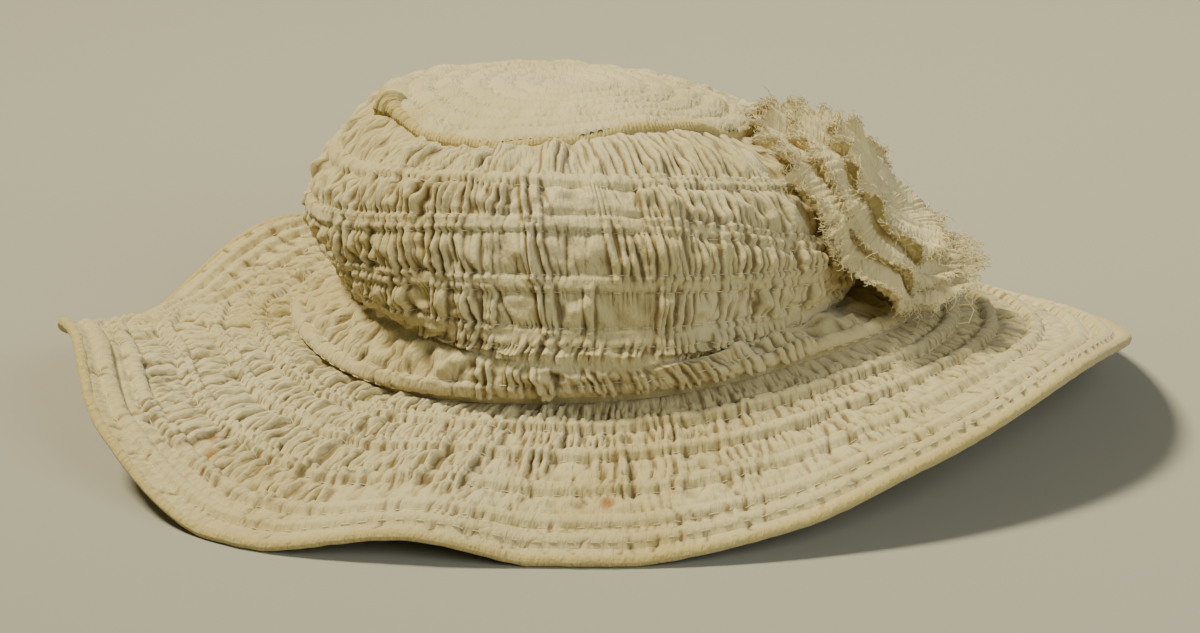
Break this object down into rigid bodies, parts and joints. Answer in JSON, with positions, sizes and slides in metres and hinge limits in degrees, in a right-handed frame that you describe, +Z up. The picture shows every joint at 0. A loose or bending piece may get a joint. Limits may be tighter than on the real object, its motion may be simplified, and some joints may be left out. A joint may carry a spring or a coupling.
{
  "type": "corded sun hat",
  "caption": "Wide-brimmed sun hat of corded and gathered cotton, with an oval domed tip, a waved brim bound along its edge and a rosette of frayed frills on the crown's end.",
  "frame": {"origin": "on the surface that the hat rests on, under the middle of the brim", "axes": "+X to the end that carries the rosette, along the brim's longest extent; +Z up through the crown; the near side is -Y"},
  "size_m": [0.341, 0.3, 0.1046],
  "materials": {
    "cream_cotton": "matt washed cotton",
    "aged_cotton": "matt yellowed cotton",
    "muslin": "matt thin muslin with ravelled edges"
  },
  "bodies": {
    "root": {"brim": "cream_cotton", "brim_binding": "aged_cotton", "crown_side": "cream_cotton", "crown_tip": "cream_cotton", "tip_piping": "aged_cotton", "rosette_frill_outer": "muslin", "rosette_frill_middle": "muslin", "rosette_frill_inner": "muslin"}
  },
  "joints": []
}
